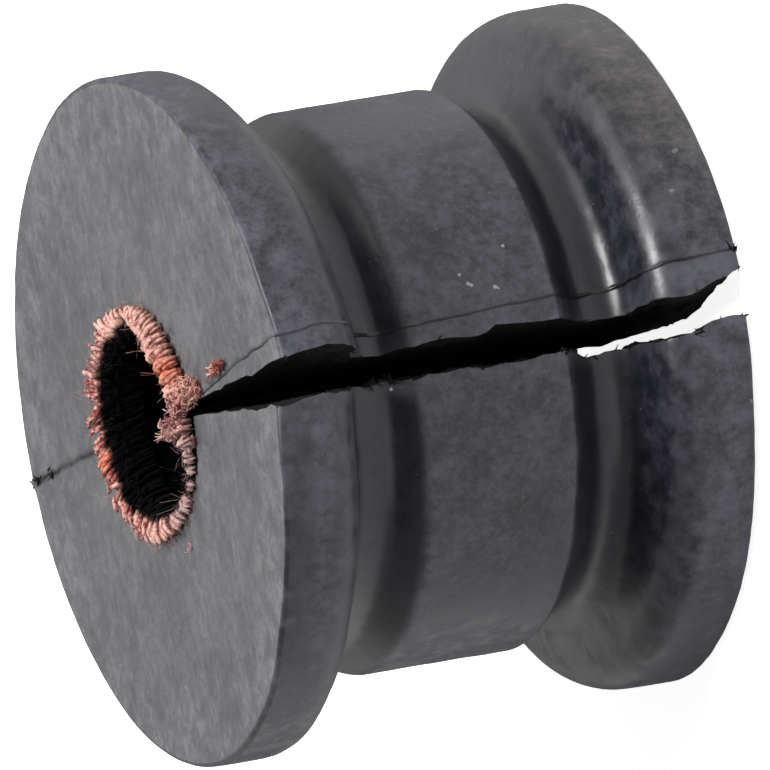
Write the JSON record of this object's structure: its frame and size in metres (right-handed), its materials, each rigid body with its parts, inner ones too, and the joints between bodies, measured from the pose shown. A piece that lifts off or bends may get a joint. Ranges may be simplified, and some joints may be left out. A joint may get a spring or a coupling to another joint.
{
  "type": "sway bar bushing",
  "caption": "Round spool-shaped rubber bushing for a sway bar, with end flanges, a waist for its strap, a split wall and a bore lined with woven fabric.",
  "frame": {"origin": "on the bore's axis, in the plane of the lower end face that the bushing stands on", "axes": "+Z along the bore towards the end face with the frayed lip; the split through the wall faces -Y; +X to the right seen from the split"},
  "size_m": [0.067, 0.0674, 0.0519],
  "materials": {
    "rubber": "dull moulded black with grey bloom and dust",
    "weave": "coarse woven yarn, frayed at the mouth, blackened inside the bore"
  },
  "bodies": {
    "root": {"rubber_body": "rubber", "woven_liner": "weave"}
  },
  "joints": []
}
